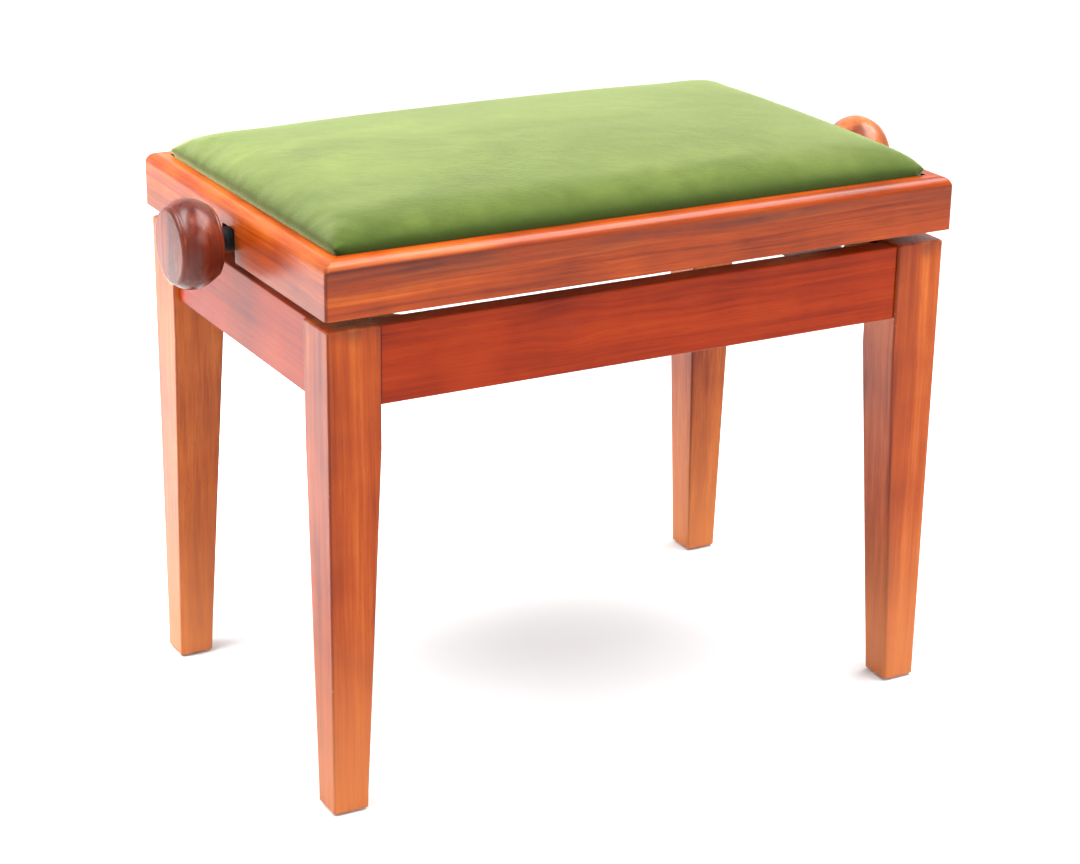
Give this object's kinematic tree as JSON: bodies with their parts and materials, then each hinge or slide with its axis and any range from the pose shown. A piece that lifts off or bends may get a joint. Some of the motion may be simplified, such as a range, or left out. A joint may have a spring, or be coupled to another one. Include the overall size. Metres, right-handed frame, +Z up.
{
  "type": "piano bench",
  "caption": "Height-adjustable piano bench: stained wood base on tapered legs, mitred seat frame with a velvet cushion, side knobs turning a screw-driven scissor lift.",
  "frame": {"origin": "on the floor under the middle of the bench", "axes": "+Z up, X along the bench's length through both knobs, +Y from the front long side to the rear long side"},
  "size_m": [0.648, 0.355, 0.4718],
  "materials": {
    "stained_wood_base": "glossy red-brown lacquer over straight grain",
    "stained_wood_seat": "glossy red-brown lacquer over streaked grain",
    "turned_wood": "dark red-brown lacquer, turned",
    "plain_wood": "plain sawn wood and plywood, unfinished",
    "velvet": "cotton velvet, short pile",
    "foam": "soft upholstery foam",
    "felt": "pressed felt",
    "black_steel": "black semi-gloss paint on steel",
    "zinc_steel": "bright zinc-plated steel",
    "brass": "turned brass",
    "nylon": "natural nylon"
  },
  "bodies": {
    "base": {"leg_front_left": "stained_wood_base", "leg_front_right": "stained_wood_base", "leg_rear_left": "stained_wood_base", "leg_rear_right": "stained_wood_base", "apron_front": "stained_wood_base", "apron_rear": "stained_wood_base", "apron_left": "stained_wood_base", "apron_right": "stained_wood_base", "corner_brace_front_left": "plain_wood", "corner_brace_front_right": "plain_wood", "corner_brace_rear_left": "plain_wood", "corner_brace_rear_right": "plain_wood", "hanger_bolts": "zinc_steel", "hanger_nuts": "zinc_steel", "brace_screws": "zinc_steel", "foot_pads": "felt", "lower_rail_front": "black_steel", "lower_rail_rear": "black_steel", "lower_rail_screws": "zinc_steel", "lower_pivot_bolts": "zinc_steel"},
    "arm_a": {"arm_a_front": "black_steel", "arm_a_rear": "black_steel", "arm_a_cross_tube": "black_steel", "centre_pins": "zinc_steel"},
    "arm_b": {"arm_b_front": "black_steel", "arm_b_rear": "black_steel", "slide_rod": "zinc_steel", "slide_rod_clips": "zinc_steel"},
    "nut_bar": {"nut_bar": "zinc_steel", "nut_bar_clips": "zinc_steel", "spindle_nut": "brass"},
    "seat": {"seat_rail_front": "stained_wood_seat", "seat_rail_rear": "stained_wood_seat", "seat_rail_left": "stained_wood_seat", "seat_rail_right": "stained_wood_seat", "board_cleat_front": "plain_wood", "board_cleat_rear": "plain_wood", "cleat_screws": "zinc_steel", "seat_board": "plain_wood", "seat_foam": "foam", "seat_cover": "velvet", "upper_rail_front": "black_steel", "upper_rail_rear": "black_steel", "upper_rail_screws": "zinc_steel", "upper_pivot_bolts": "zinc_steel", "bearing_plate_left": "black_steel", "bearing_plate_right": "black_steel", "bearing_bushes": "nylon", "bearing_screws": "zinc_steel"},
    "spindle": {"spindle": "zinc_steel", "spindle_collars": "black_steel", "thrust_collars": "zinc_steel", "knob_left": "turned_wood", "knob_right": "turned_wood", "knob_inserts": "brass"}
  },
  "joints": [
    {"name": "lift", "type": "hinge", "parent": "base", "child": "arm_a", "pos_m": [-0.14, 0, 0.37], "axis": [0, -1, 0], "range_deg": [0, 18]},
    {"name": "scissor_cross", "type": "hinge", "parent": "arm_a", "child": "arm_b", "pos_m": [0.00838, 0, 0.392], "axis": [0, -1, 0], "range_deg": [-36, 0]},
    {"name": "seat_level", "type": "hinge", "parent": "arm_b", "child": "seat", "pos_m": [-0.14, 0, 0.414], "axis": [0, -1, 0], "range_deg": [0, 18]},
    {"name": "nut_bar_level", "type": "hinge", "parent": "arm_a", "child": "nut_bar", "pos_m": [0.15676, 0, 0.414], "axis": [0, -1, 0], "range_deg": [-18, 0]},
    {"name": "spindle_turn", "type": "hinge", "parent": "seat", "child": "spindle", "pos_m": [0, 0, 0.414], "axis": [1, 0, 0], "range_deg": [0, 5040]}
  ],
  "couplings": [
    {"joint": "scissor_cross", "follows": "lift", "ratio": -2},
    {"joint": "seat_level", "follows": "lift", "ratio": 1},
    {"joint": "nut_bar_level", "follows": "lift", "ratio": -1},
    {"joint": "spindle_turn", "follows": "lift", "ratio": 280}
  ]
}
